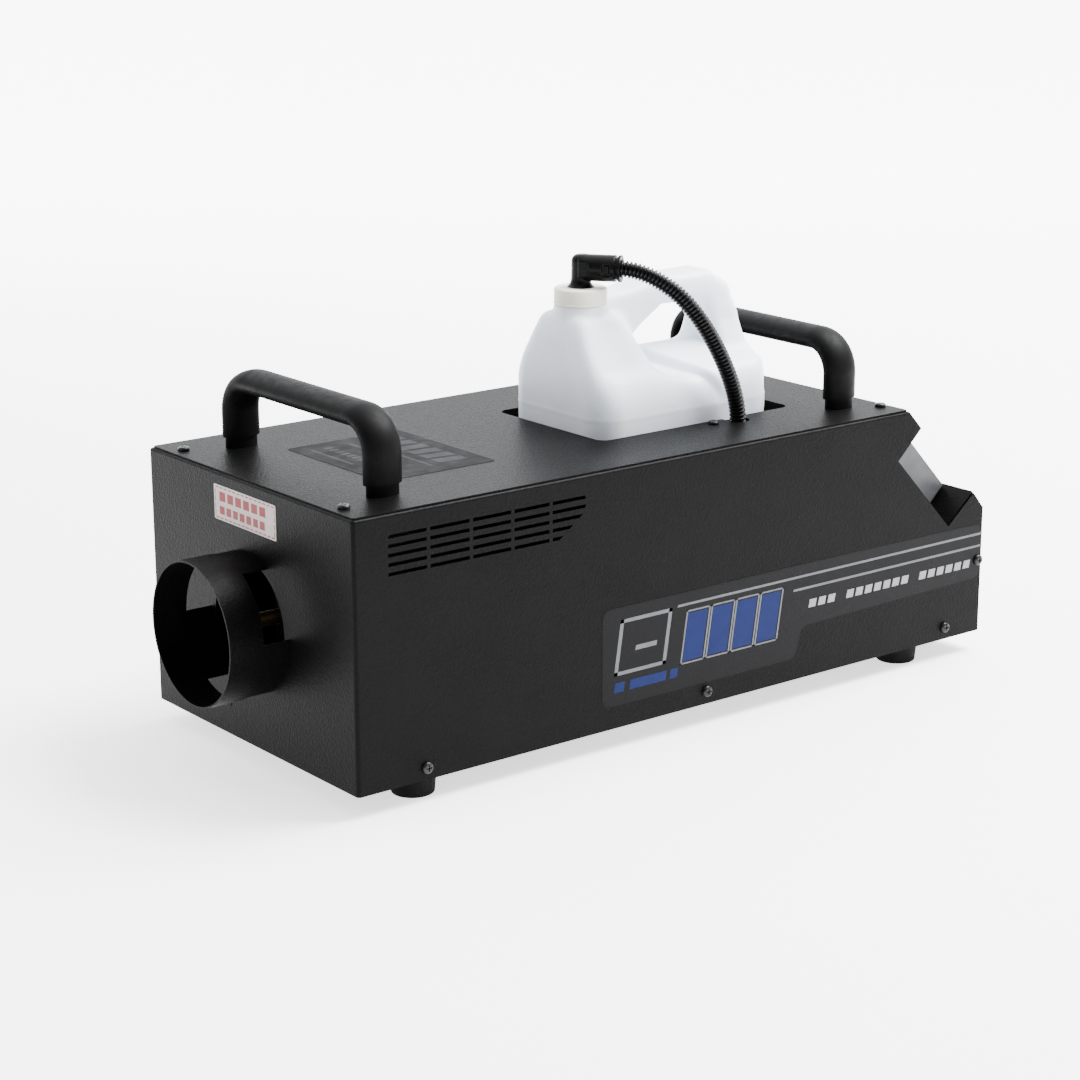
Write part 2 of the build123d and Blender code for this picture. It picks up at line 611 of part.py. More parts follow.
def fan():
    """The cooling fan: frame with its strutted boss, bladed rotor, and the guard outside."""
    cx, cz = FAN_C
    half = FAN_SIZE / 2
    front, back = CASE_L - SHEET - 25.4, CASE_L - SHEET - 0.2
    frame = block((cx - half, cx + half), (front, back), (cz - half, cz + half))
    frame = fillet(frame.edges().filter_by(Axis.Y), 4)
    frame -= rod((cx, front - 1, cz), (0, 1, 0), 38.0, 30)
    for turn in (45, 135):
        frame += Pos(cx, front + 1.5, cz) * Rot(0, turn, 0) * Box(78, 3, 4)
    frame += rod((cx, front, cz), (0, 1, 0), 16.0, 6)
    frame -= rod((cx, front - 1, cz), (0, 1, 0), 2.05, 12)
    keep("fan_frame", frame)
    rotor = rod((cx, front + 7, cz), (0, 1, 0), 16.0, 15) + rod((cx, front + 0.5, cz), (0, 1, 0), 2.0, 8)
    for blade in range(7):
        vane = Pos(25.5, 0, 0) * Rot(38, 0, 0) * Box(20, 14, 1.6)
        rotor += Pos(cx, front + 14.5, cz) * Rot(0, blade * 360 / 7, 0) * vane
    keep("fan_rotor", rotor)
    guard_y = CASE_L
    guard = ring((cx, guard_y, cz), (0, 1, 0), 38.5, 36.5, 2)
    for radius in (12, 20, 28):
        guard += ring((cx, guard_y, cz), (0, 1, 0), radius + 1, radius - 1, 2)
    for turn in (45, 135):
        guard += Pos(cx, guard_y + 1, cz) * Rot(0, turn, 0) * Box(96, 2, 3)
    guard += rod((cx, guard_y, cz), (0, 1, 0), 6, 2)
    keep("fan_guard", guard)


def rear_fittings():
    """The power inlet, the breaker, the rocker switch and the data sockets."""
    y = CASE_L
    x, z = INLET_C
    inlet = upright_face(x, z, 48, 24, y, 2.6, 4) + block((x - 14, x + 14), (y - 24, y), (z - 10.5, z + 10.5))
    inlet -= block((x - 12, x + 12), (y - 16, y + 5), (z - 8, z + 8))
    for px, pz in ((-7, -2), (7, -2), (0, 3)):
        inlet += block((x + px - 1, x + px + 1), (y - 17, y - 3), (z + pz - 2, z + pz + 2))
    keep("power_inlet", inlet)
    x, z = BREAKER_C
    breaker = rod((x, y, z), (0, 1, 0), 8.0, 2.0) + rod((x, y - 8, z), (0, 1, 0), 5.6, 8)
    breaker += block((x - 9, x + 9), (y - 36, y - 8), (z - 9, z + 9))
    breaker -= rod((x, y - 12, z), (0, 1, 0), 3.8, 20)
    keep("breaker_body", breaker)
    keep("breaker_button", rod((x, y - 7, z), (0, 1, 0), 3.4, 10))
    x, z = ROCKER_C
    switch = block((x - 12, x + 12), (y, y + 2), (z - 15.5, z + 15.5))
    switch += block((x - 10.5, x + 10.5), (y - 24, y), (z - 14, z + 14))
    switch -= block((x - 8.4, x + 8.4), (y - 10, y + 5), (z - 12, z + 12))
    switch -= rod((x - 9.6, y - 2.5, z), (1, 0, 0), 1.4, 19.2)
    keep("rocker_body", switch)
    face = [(y - 4, z - 11), (y - 4, z + 11), (y + 2.8, z + 11), (y + 0.4, z), (y - 0.6, z - 11)]
    rocker = across(Polygon(*face, align=None), x - 8.0, x + 8.0)
    rocker += rod((x - 9.2, y - 2.5, z), (1, 0, 0), 1.2, 18.4)
    keep("power_rocker", rocker)
    sockets = []
    for x, z in XLR_C:
        shell = upright_face(x, z, 26, 31, y, 2.0, 2) + rod((x, y - 22, z), (0, 1, 0), 11.5, 22)
        shell -= rod((x, y - 14, z), (0, 1, 0), 9.3, 20)
        if x == XLR_C[0][0]:
            shell -= block((x - 3.4, x + 3.4), (y - 8, y + 5), (z + 10.0, z + 14.0))
        for turn in (90, 210, 330):
            px, pz = 4.2 * math.cos(math.radians(turn)), 4.2 * math.sin(math.radians(turn))
            shell += rod((x + px, y - 15, z + pz), (0, 1, 0), 1.2, 11)
        sockets.append(shell)
    keep("data_sockets", *sockets)
    x, z = XLR_C[0]
    keep("socket_latch", block((x - 3.0, x + 3.0), (y - 5, y + 2.9), (z + 10.4, z + 13.6)))
    screws = []
    for x, z in rear_screw_places():
        screws.append(pan_screw((x, y, z), (0, 1, 0), shank_length=6.0, head_r=3.6))
    keep("rear_screws", *screws)


def upright_face(x, z, width, height, y, thick, radius):
    """A rounded plate on the rear wall."""
    plate = RectangleRounded(width, height, radius)
    return Pos(x, y + thick, z) * extrude(Plane.XZ * plate, amount=thick)


# ------------------------------------------------------------------------ control module
def control_module():
    """The docked control module: two shells, display, keys and its plug."""
    frame = dock_plane()
    half_w, half_h = MODULE_W / 2, MODULE_H / 2
    outline = RectangleRounded(MODULE_W, MODULE_H, 4)
    back = frame * (Pos(0, 0, 0.9) * extrude(outline, amount=MODULE_SPLIT - 0.9))
    back -= frame * (Pos(0, 0, 2.9 + 20) * Box(MODULE_W - 5, MODULE_H - 5, 40))
    plug = frame * (Pos(0, 0, -2.0) * Box(42, 8, 6))
    keep("module_back", back + plug)
    face = Pos(0, 0, MODULE_SPLIT) * extrude(outline, amount=MODULE_FACE - MODULE_SPLIT)
    face = fillet(face.edges().group_by(Axis.Z)[-1], 1.2)
    face -= Pos(0, 0, MODULE_FACE - 2.5 - 20) * Box(MODULE_W - 5, MODULE_H - 5, 40)
    face -= Pos(*DISPLAY_AT, MODULE_FACE) * Box(*DISPLAY_SIZE, 8)
    for x in KEY_X:
        face -= Pos(x, KEY_ALONG, MODULE_FACE) * Box(KEY_SIZE[0] + 0.8, KEY_SIZE[1] + 0.8, 8)
    keep("module_front", frame * face)
    keep("module_display", frame * (Pos(*DISPLAY_AT, MODULE_FACE - 1.4) * Box(*DISPLAY_SIZE, 2.0)))
    for number, x in enumerate(KEY_X, 1):
        key = Pos(x, KEY_ALONG, MODULE_FACE - 5) * extrude(RectangleRounded(*KEY_SIZE, 2), amount=6.2)
        key = fillet(key.edges().group_by(Axis.Z)[-1], 0.6)
        keep(f"module_key_{number}", frame * key)
    socket = Pos(0, 0, -6.5) * Box(60, 20, 11) - Pos(0, 0, -3.0) * Box(43, 9, 9)
    keep("dock_socket", frame * (socket - Pos(0, 0, 0.7) * Box(80, 30, 2.8)))


# -------------------------------------------------------------------------------- labels
def labels():
    """The side decals, the deck label and the front sticker, each a thin film."""
    film = 0.25
    solids = []
    panel = Polygon((234, 26), (234, 93), (241, 100.5), (CASE_L - 2, 99), (CASE_L - 2, 50), (452, 46),
                    (448, 26), (441, 19), (241, 19), align=None)
    for side in (-1, 1):
        low, high = sorted((side * CASE_W / 2, side * (CASE_W / 2 + film)))
        decal = across(panel, low, high)
        decal -= rod((-CASE_W, *SIDE_SCREWS[3]), (1, 0, 0), SCREW_HEAD_R + 0.6, 2 * CASE_W)
        solids.append(decal)
    solids.append(block((-66, 69), (80, 189), (DECK_Z, DECK_Z + film)))
    sticker = block((-46, 43), (-film, 0), (176, 204))
    solids.append(sticker)
    keep("labels", *solids)


def main():
    case_wrap()
    top_cover()
    base_pan()
    rear_panel()
    tank_well()
    handle("front_handle", HANDLE_Y[0])
    handle("rear_handle", HANDLE_Y[1])
    feet()
    fasteners()
    duct_collar()
    nozzle()
    exchanger()
    pump()
    tubes()
    jug()
    cap_and_elbow()
    hose()
    electronics()
    fan()
    rear_fittings()
    control_module()
    labels()
    os.makedirs("parts", exist_ok=True)
    for node, shape in PARTS.items():
        export_step(place(shape), f"parts/{node}.step")
    print(len(PARTS), "nodes")


main()
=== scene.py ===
import json
import math

import bpy
import numpy as np
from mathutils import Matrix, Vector


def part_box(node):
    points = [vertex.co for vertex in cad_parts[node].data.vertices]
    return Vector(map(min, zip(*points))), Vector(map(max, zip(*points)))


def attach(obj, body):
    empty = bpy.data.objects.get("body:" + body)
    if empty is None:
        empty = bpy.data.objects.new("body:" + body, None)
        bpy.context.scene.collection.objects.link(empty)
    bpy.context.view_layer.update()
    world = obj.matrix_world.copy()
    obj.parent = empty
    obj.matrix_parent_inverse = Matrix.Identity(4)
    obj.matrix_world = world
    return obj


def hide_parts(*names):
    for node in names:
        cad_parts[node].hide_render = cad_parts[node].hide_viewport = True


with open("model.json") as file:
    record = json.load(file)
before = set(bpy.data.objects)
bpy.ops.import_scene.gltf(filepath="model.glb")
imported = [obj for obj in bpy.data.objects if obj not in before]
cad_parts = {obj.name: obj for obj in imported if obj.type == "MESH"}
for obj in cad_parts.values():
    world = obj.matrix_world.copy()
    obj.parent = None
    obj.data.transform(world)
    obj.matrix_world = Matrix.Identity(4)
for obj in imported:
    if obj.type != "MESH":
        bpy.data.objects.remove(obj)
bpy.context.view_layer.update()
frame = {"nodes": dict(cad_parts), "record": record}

# The looks of a stage fog machine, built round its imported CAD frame. Sizes below are in case
# millimetres unless said otherwise: x across, y from the front panel to the rear, z up from
# the case's lower edge. row() turns them into the frame's metres.

WRAP_LOW, WRAP_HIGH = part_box("case_wrap")
MM = 0.001
HALF_W = WRAP_HIGH.x / MM
DECK_Z = (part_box("top_cover")[1].z - WRAP_LOW.z) / MM


def row(points):
    """Case millimetres to row-frame metres, for one point or an array of them."""
    shift = np.array([0.0, WRAP_LOW.y, WRAP_LOW.z])
    return np.asarray(points, float) * MM + shift


# ---------------------------------------------------------------------------- camera
LENS = 87.1
CAMERA_AT = (1666.8, -1012.1, 709.7)
CAMERA_TO = (91.3, 215.0, 150.4)
CAMERA_ROLL = math.radians(-0.16)


def make_camera():
    data = bpy.data.cameras.new("camera")
    data.lens = LENS
    data.clip_start, data.clip_end = 0.05, 60.0
    cam = bpy.data.objects.new("camera", data)
    bpy.context.scene.collection.objects.link(cam)
    place, target = Vector(row(CAMERA_AT)), Vector(row(CAMERA_TO))
    cam.location = place
    turn = (target - place).to_track_quat("-Z", "Y").to_matrix().to_4x4()
    cam.matrix_world = turn.copy()
    cam.location = place
    cam.rotation_euler.rotate_axis("Z", CAMERA_ROLL)
    bpy.context.scene.camera = cam


make_camera()


# --------------------------------------------------------------------- mesh helpers
def new_mesh(name, verts, faces, body, material, smooth=True):
    """A mesh in row-frame metres that rides on a CAD body."""
    mesh = bpy.data.meshes.new(name)
    mesh.from_pydata([tuple(v) for v in verts], [], [tuple(f) for f in faces])
    mesh.validate()
    mesh.update()
    mesh.materials.append(material)
    if smooth:
        mesh.shade_smooth()
    piece = bpy.data.objects.new(name, mesh)
    bpy.context.scene.collection.objects.link(piece)
    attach(piece, body)
    return piece


def lathe(profile, segments, centre, axis=(0, 0, 1), ripple=None):
    """Rings of a turned shape: profile is (radius, height) pairs in mm, ripple(angle, i) adds to radius."""
    axis = Vector(axis).normalized()
    side = axis.orthogonal().normalized()
    other = axis.cross(side)
    verts, faces = [], []
    for i, (radius, height) in enumerate(profile):
        for k in range(segments):
            angle = 2 * math.pi * k / segments
            r = radius + (ripple(angle, i) if ripple else 0.0)
            p = Vector(centre) + axis * height + side * (r * math.cos(angle)) + other * (r * math.sin(angle))
            verts.append(p)
    for i in range(len(profile) - 1):
        for k in range(segments):
            a, b = i * segments + k, i * segments + (k + 1) % segments
            faces.append((a, b, b + segments, a + segments))
    faces.append(tuple(range(segments))[::-1])
    faces.append(tuple(len(verts) - segments + k for k in range(segments)))
    return row(verts), faces


def film(name, outline, thick, body, material, to_point):
    """A thin closed plate from a 2-D outline; to_point(u, v, w) gives its place in case mm."""
    n = len(outline)
    verts = [to_point(u, v, 0.0) for u, v in outline] + [to_point(u, v, thick) for u, v in outline]
    faces = [tuple(range(n))[::-1], tuple(range(n, 2 * n))]
    faces += [(i, (i + 1) % n, n + (i + 1) % n, n + i) for i in range(n)]
    return new_mesh(name, row(verts), faces, body, material, smooth=False)


def plates(name, outlines, thick, body, material, to_point):
    """Several thin plates in one mesh."""
    verts, faces = [], []
    for outline in outlines:
        n, start = len(outline), len(verts)
        verts += [to_point(u, v, 0.0) for u, v in outline]
        verts += [to_point(u, v, thick) for u, v in outline]
        faces.append(tuple(start + i for i in range(n))[::-1])
        faces.append(tuple(start + n + i for i in range(n)))
        faces += [(start + i, start + (i + 1) % n, start + n + (i + 1) % n, start + n + i) for i in range(n)]
    return new_mesh(name, row(verts), faces, body, material, smooth=False)


# ------------------------------------------------- smooth solids from a distance field
def smooth_min(a, b, k):
    h = np.clip(0.5 + 0.5 * (b - a) / k, 0.0, 1.0)
    return b + (a - b) * h - k * h * (1.0 - h)


def smooth_max(a, b, k):
    return -smooth_min(-a, -b, k)


def field_mesh(field, low, high, step):
    """Closed quad mesh of field < 0 by surface nets, then pulled onto the exact surface."""
    axes = [np.arange(lo, hi + step, step) for lo, hi in zip(low, high)]
    nx, ny, nz = (len(a) for a in axes)
    grid = np.empty((nx, ny, nz))
    for i, x in enumerate(axes[0]):
        yy, zz = np.meshgrid(axes[1], axes[2], indexing="ij")
        grid[i] = field(np.full_like(yy, x), yy, zz)
    inside = grid < 0
    total = np.zeros((nx - 1, ny - 1, nz - 1, 3))
    count = np.zeros((nx - 1, ny - 1, nz - 1))
    corners = [(a, b, c) for a in (0, 1) for b in (0, 1) for c in (0, 1)]
    for a in corners:
        for axis in range(3):
            if a[axis]:
                continue
            b = tuple(v + (1 if j == axis else 0) for j, v in enumerate(a))
            fa = grid[a[0]:nx - 1 + a[0], a[1]:ny - 1 + a[1], a[2]:nz - 1 + a[2]]
            fb = grid[b[0]:nx - 1 + b[0], b[1]:ny - 1 + b[1], b[2]:nz - 1 + b[2]]
            crossed = (fa < 0) != (fb < 0)
            share = np.where(crossed, fa / np.where(crossed, fa - fb, 1.0), 0.0)
            point = [np.full_like(share, float(a[j])) for j in range(3)]
            point[axis] = point[axis] + share
            for j in range(3):
                total[..., j] += np.where(crossed, point[j], 0.0)
            count += crossed
    used = count > 0
    index = -np.ones(used.shape, int)
    index[used] = np.arange(used.sum())
    cells = np.argwhere(used)
    verts = (cells + total[used] / count[used][:, None]) * step + np.array([a[0] for a in axes])
    faces = []
    for axis in range(3):
        others = [j for j in range(3) if j != axis]
        a = [slice(1, -1)] * 3
        b = [slice(1, -1)] * 3
        a[axis], b[axis] = slice(0, -1), slice(1, None)
        one, two = inside[tuple(a)], inside[tuple(b)]
        at = np.argwhere(one != two)
        flip = one[tuple(at.T)]
        base = at.copy()
        for j in others:
            base[:, j] += 1
        quad = []
        for du, dv in ((-1, -1), (0, -1), (0, 0), (-1, 0)):
            cell = base.copy()
            cell[:, others[0]] += du
            cell[:, others[1]] += dv
            quad.append(index[tuple(cell.T)])
        quad = np.stack(quad, 1)
        if axis == 1:
            flip = ~flip
        faces += [tuple(q) if f else tuple(q[::-1]) for q, f in zip(quad, flip)]
    for _ in range(4):
        e = 0.05
        x, y, z = verts.T
        value = field(x, y, z)
        slope = np.stack([field(x + e, y, z) - field(x - e, y, z),
                          field(x, y + e, z) - field(x, y - e, z),
                          field(x, y, z + e) - field(x, y, z - e)], 1) / (2 * e)
        size = np.maximum((slope ** 2).sum(1), 0.05)
        move = slope * (value / size)[:, None]
        verts = verts - np.clip(move, -step, step) * 0.8
    return verts, faces


# ------------------------------------------------------------------------- materials
def nodes_of(name):
    material = bpy.data.materials.new(name)
    material.use_nodes = True
    tree = material.node_tree
    return material, tree, tree.nodes["Principled BSDF"]


def link(tree, a, b):
    tree.links.new(a, b)


def coords(tree, scale=(1, 1, 1)):
    """Object coordinates in metres, which don't slide when a body moves."""
    place = tree.nodes.new("ShaderNodeTexCoord")
    mapping = tree.nodes.new("ShaderNodeMapping")
    mapping.inputs["Scale"].default_value = scale
    link(tree, place.outputs["Object"], mapping.inputs["Vector"])
    return mapping.outputs["Vector"]


def noise(tree, vector, scale, detail=2.0, rough=0.5):
    node = tree.nodes.new("ShaderNodeTexNoise")
    node.inputs["Scale"].default_value = scale
    node.inputs["Detail"].default_value = detail
    node.inputs["Roughness"].default_value = rough
    link(tree, vector, node.inputs["Vector"])
    return node.outputs["Fac"]


def ramp(tree, value, stops):
    node = tree.nodes.new("ShaderNodeValToRGB")
    elements = node.color_ramp.elements
    while len(elements) < len(stops):
        elements.new(0.5)
    for element, (place, colour) in zip(elements, stops):
        element.position = place
        element.color = (*colour, 1.0) if len(colour) == 3 else colour
    link(tree, value, node.inputs["Fac"])
    return node.outputs["Color"]


def grey(value):
    return (value, value, value)


def bump(tree, shader, height, strength, distance, under=None):
    node = tree.nodes.new("ShaderNodeBump")
    node.inputs["Strength"].default_value = strength
    node.inputs["Distance"].default_value = distance
    link(tree, height, node.inputs["Height"])
    if under is not None:
        link(tree, under, node.inputs["Normal"])
    link(tree, node.outputs["Normal"], shader.inputs["Normal"])
    return node.outputs["Normal"]


def varied(name, dark, light, rough, mottle=60.0, grain=900.0, grain_depth=0.00005, metal=0.0, gloss=0.3):
    """A moulded or coated surface: mottled colour, uneven gloss and fine grain."""
    material, tree, shader = nodes_of(name)
    place = coords(tree)
    broad = noise(tree, place, mottle, 4.0)
    link(tree, ramp(tree, broad, [(0.3, dark), (0.7, light)]), shader.inputs["Base Color"])
    uneven = noise(tree, place, mottle * 2.7, 3.0)
    link(tree, ramp(tree, uneven, [(0.3, grey(rough[0])), (0.7, grey(rough[1]))]),
         shader.inputs["Roughness"])
    shader.inputs["Metallic"].default_value = metal
    shader.inputs["Specular IOR Level"].default_value = gloss
    bump(tree, shader, noise(tree, place, grain, 2.0, 0.6), 0.4, grain_depth)
    return material


def powder_coat(name, dark=(0.0008, 0.0008, 0.0009), light=(0.0016, 0.0014, 0.0014), grain=520.0):
    """Textured black powder coat: fine raised grain over a slow orange-peel wave."""
    material, tree, shader = nodes_of(name)
    place = coords(tree)
    slow = noise(tree, place, 18.0, 5.0)
    link(tree, ramp(tree, slow, [(0.35, dark), (0.65, light)]), shader.inputs["Base Color"])
    shader.inputs["Specular IOR Level"].default_value = 0.045
    cells = tree.nodes.new("ShaderNodeTexVoronoi")
    cells.feature = "SMOOTH_F1"
    cells.inputs["Scale"].default_value = grain
    cells.inputs["Smoothness"].default_value = 0.6
    link(tree, place, cells.inputs["Vector"])
    fine = noise(tree, place, grain * 1.9, 2.0, 0.6)
    mix = tree.nodes.new("ShaderNodeMath")
    mix.operation = "MULTIPLY_ADD"
    mix.inputs[1].default_value = 0.55
    link(tree, fine, mix.inputs[0])
    link(tree, cells.outputs["Distance"], mix.inputs[2])
    link(tree, ramp(tree, fine, [(0.35, grey(0.36)), (0.65, grey(0.52))]), shader.inputs["Roughness"])
    bump(tree, shader, mix.outputs[0], 0.7, 0.00026)
    return material


def brushed(name, colour, rough=0.34, along=(1, 1, 30)):
    """Metal with fine marks drawn along one direction."""
    material, tree, shader = nodes_of(name)
    shader.inputs["Base Color"].default_value = (*colour, 1)
    shader.inputs["Metallic"].default_value = 1.0
    marks = noise(tree, coords(tree, along), 260.0, 3.0, 0.7)
    stops = [(0.3, grey(rough * 0.75)), (0.7, grey(rough * 1.3))]
    link(tree, ramp(tree, marks, stops), shader.inputs["Roughness"])
    bump(tree, shader, marks, 0.15, 0.00008)
    return material


def milky(name, colour, deep, radius, rough):
    """Natural blow-moulded polythene: light soaks in and comes out cloudy."""
    material, tree, shader = nodes_of(name)
    place = coords(tree)
    cloud = noise(tree, place, 22.0, 4.0)
    link(tree, ramp(tree, cloud, [(0.3, deep), (0.7, colour)]), shader.inputs["Base Color"])
    shader.inputs["Subsurface Weight"].default_value = 0.75
    shader.inputs["Subsurface Radius"].default_value = radius
    shader.inputs["Subsurface Scale"].default_value = 1.0
    shader.inputs["Specular IOR Level"].default_value = 0.42
    wave = noise(tree, place, 34.0, 3.0)
    uneven = noise(tree, place, 90.0, 3.0)
    link(tree, ramp(tree, uneven, [(0.3, grey(rough - 0.05)), (0.7, grey(rough + 0.08))]),
         shader.inputs["Roughness"])
    first = bump(tree, shader, wave, 0.25, 0.0012)
    bump(tree, shader, noise(tree, place, 700.0, 2.0), 0.12, 0.0001, under=first)
    return material


def printed(name, colour, rough=0.3, speck=0.12, gloss=0.12):
    """Printed ink on film, with a little tooth."""
    material, tree, shader = nodes_of(name)
    place = coords(tree)
    shader.inputs["Specular IOR Level"].default_value = gloss
    tone = noise(tree, place, 160.0, 4.0)
    low = tuple(c * (1 - speck) for c in colour)
    link(tree, ramp(tree, tone, [(0.3, low), (0.7, colour)]), shader.inputs["Base Color"])
    link(tree, ramp(tree, noise(tree, place, 70.0), [(0.3, grey(rough - 0.06)), (0.7, grey(rough + 0.08))]),
         shader.inputs["Roughness"])
    bump(tree, shader, noise(tree, place, 1500.0), 0.1, 0.00003)
    return material


MATERIALS = {
    "black_powder_coat": powder_coat("powder_coat"),
    "zinc_steel": brushed("zinc", (0.55, 0.56, 0.58), 0.32),
    "black_screw": varied("black_zinc", (0.010, 0.010, 0.010), (0.022, 0.022, 0.022), (0.22, 0.36),
                          metal=0.7),
    "rubber_black": varied("rubber", (0.002, 0.002, 0.002), (0.005, 0.005, 0.005), (0.6, 0.8),
                           grain=500, gloss=0.06),
    "grip_black": varied("grip", (0.0012, 0.0012, 0.0013), (0.0022, 0.0022, 0.0023), (0.46, 0.58), grain=1400,
                         grain_depth=0.00004, gloss=0.05),
    "hdpe_jug": milky("polythene", (0.80, 0.83, 0.87), (0.72, 0.76, 0.81), (0.016, 0.018, 0.021), 0.38),
    "cap_ivory": milky("ivory_cap", (0.80, 0.77, 0.68), (0.72, 0.69, 0.60), (0.004, 0.0035, 0.002), 0.42),
    "black_plastic": varied("black_plastic", (0.0014, 0.0014, 0.0016), (0.0028, 0.0028, 0.0030),
                            (0.26, 0.40), gloss=0.08),
    "hose_plastic": varied("hose_plastic", (0.0010, 0.0010, 0.0012), (0.0020, 0.0020, 0.0022),
                           (0.16, 0.26), grain=1500, gloss=0.14),
    "brass": varied("browned_brass", (0.060, 0.042, 0.022), (0.13, 0.090, 0.042), (0.40, 0.58), metal=1.0),
    "cast_aluminium": varied("cast_aluminium", (0.50, 0.50, 0.51), (0.64, 0.64, 0.65), (0.45, 0.62),
                             metal=1.0),
    "insulation_wool": varied("wool", (0.62, 0.58, 0.48), (0.80, 0.76, 0.66), (0.9, 1.0),
                              mottle=120, grain=400, grain_depth=0.0006),
    "steel_plain": varied("heat_dark_steel", (0.030, 0.029, 0.028), (0.060, 0.057, 0.054),
                          (0.45, 0.62), metal=1.0),
    "board_green": varied("board", (0.02, 0.10, 0.04), (0.03, 0.16, 0.07), (0.3, 0.42)),
    "coil_yellow": varied("coil_tape", (0.55, 0.36, 0.06), (0.68, 0.46, 0.10), (0.4, 0.5)),
    "silicone_tube": milky("silicone", (0.75, 0.74, 0.68), (0.66, 0.65, 0.60), (0.003, 0.003, 0.003), 0.35),
    "switch_red": varied("switch_red", (0.42, 0.015, 0.012), (0.58, 0.03, 0.02), (0.18, 0.28)),
    "module_grey": varied("module_grey", (0.045, 0.047, 0.050), (0.065, 0.067, 0.070), (0.42, 0.56),
                          grain=700, grain_depth=0.00012),
    "display_dark": varied("display", (0.004, 0.010, 0.008), (0.007, 0.016, 0.012), (0.05, 0.10)),
    "key_grey": varied("keys", (0.22, 0.23, 0.25), (0.30, 0.31, 0.33), (0.5, 0.62)),
    "label_film": printed("label_film", (0.0050, 0.0048, 0.0050), 0.55, gloss=0.03),
}
INK_SILVER = printed("ink_silver", (0.095, 0.098, 0.105), 0.38, gloss=0.06)
INK_BLUE = printed("ink_blue", (0.0035, 0.0085, 0.056), 0.34, gloss=0.06)
INK_WHITE = printed("ink_white", (0.22, 0.22, 0.225), 0.36, gloss=0.06)
INK_DIM = printed("ink_dim", (0.022, 0.022, 0.024), 0.55, gloss=0.03)
INK_RED = printed("ink_red", (0.17, 0.010, 0.010), 0.36)
INK_PALE = printed("ink_pale", (0.36, 0.31, 0.305), 0.36)
DECAL_FILM = printed("decal_film", (0.0016, 0.0016, 0.0021), 0.30, gloss=0.06)


def dress_cad():
    """Every carried-over CAD node gets the material of its record slot."""
    slots = {s["node"]: s["material_slot"] for s in frame["record"]["subparts"]}
    for name, piece in frame["nodes"].items():
        piece.data.materials.clear()
        piece.data.materials.append(MATERIALS[slots[name]])


dress_cad()


# ------------------------------------------------------------------------------ hose
HOSE_R = 7.0
HOSE_ROOT = 5.3
RIB_PITCH = 3.3
HOSE_ROUTE = [
    (43.0, 358.5, 343.0),
    (55.0, 370.0, 335.5),
    (65.0, 383.5, 323.0),
    (72.5, 397.5, 304.0),
    (77.5, 411.0, 281.0),
    (80.6, 424.0, 254.0),
    (81.5, 432.8, 228.0),
    (81.5, 434.0, 201.0),
    (81.5, 434.0, 176.0),
]
NECK = (4.4, 325.9)
ELBOW_Z = 345.5
ELBOW_TURN = math.radians(38.0)
ELBOW_ARM = 34.7


def arm_point(reach, height=ELBOW_Z):
    """A point on the elbow's arm, at a distance from the neck's axis."""
    return (NECK[0] + math.cos(ELBOW_TURN) * reach, NECK[1] + math.sin(ELBOW_TURN) * reach, height)


def spline_points(name, route, resolution=24):
    """Points along the NURBS spline that has the route as its control points, in metres."""
    curve = bpy.data.curves.new(name, "CURVE")
    curve.dimensions = "3D"
    curve.resolution_u = resolution
    spline = curve.splines.new("NURBS")
    spline.points.add(len(route) - 1)
    for point, place in zip(spline.points, row(route)):
        point.co = (*place, 1.0)
    spline.order_u = 3
    spline.use_endpoint_u = True
    guide = bpy.data.objects.new(name, curve)
    bpy.context.scene.collection.objects.link(guide)
    bpy.context.view_layer.update()
    mesh = bpy.data.meshes.new_from_object(guide)
    points = np.array([v.co for v in mesh.vertices])
    bpy.data.objects.remove(guide)
    bpy.data.meshes.remove(mesh)
    return points


def evenly(points, step):
    """The same line with points a step apart, and its length."""
    gaps = np.linalg.norm(np.diff(points, axis=0), axis=1)
    along = np.concatenate([[0.0], np.cumsum(gaps)])
    count = max(2, int(round(along[-1] / step)) + 1)
    at = np.linspace(0.0, along[-1], count)
    return np.stack([np.interp(at, along, points[:, j]) for j in range(3)], 1), along[-1]


def rib_radius(distance):
    """The corrugated profile: flat crests, narrow roots."""
    phase = (distance / RIB_PITCH) % 1.0
    wave = 0.5 - 0.5 * math.cos(2 * math.pi * phase)
    return HOSE_ROOT + (HOSE_R - HOSE_ROOT) * min(1.0, 1.6 * wave)


def tube_rings(points, radii, segments):
    """Rings round a line, carried along without twist."""
    tangents = np.gradient(points, axis=0)
    tangents /= np.linalg.norm(tangents, axis=1)[:, None]
    side = np.cross(tangents[0], (0.0, 0.0, 1.0))
    side /= np.linalg.norm(side)
    angles = np.linspace(0, 2 * math.pi, segments, endpoint=False)
    verts, faces = [], []
    for i, (point, tangent, radius) in enumerate(zip(points, tangents, radii)):
        side = side - tangent * side.dot(tangent)
        side /= np.linalg.norm(side)
        other = np.cross(tangent, side)
        for angle in angles:
            verts.append(point + radius * (math.cos(angle) * side + math.sin(angle) * other))
    for i in range(len(points) - 1):
        for k in range(segments):
            a, b = i * segments + k, i * segments + (k + 1) % segments
            faces.append((a, b, b + segments, a + segments))
    faces.append(tuple(range(segments))[::-1])
    faces.append(tuple(len(verts) - segments + k for k in range(segments)))
    return verts, faces


def make_hose():
    straight = [arm_point(ELBOW_ARM + reach) for reach in (-11.0, -4.2, 2.5)]
    route = straight + HOSE_ROUTE
    line = spline_points("hose_line", route)
    points, length = evenly(line, RIB_PITCH * MM / 10)
    steps = np.linspace(0, length / MM, len(points))
    radii = [rib_radius(s) * MM for s in steps]
    verts, faces = tube_rings(points, radii, 36)
    hose = new_mesh("corrugated_hose", verts, faces, "jug", MATERIALS["hose_plastic"])
    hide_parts("hose")


make_hose()


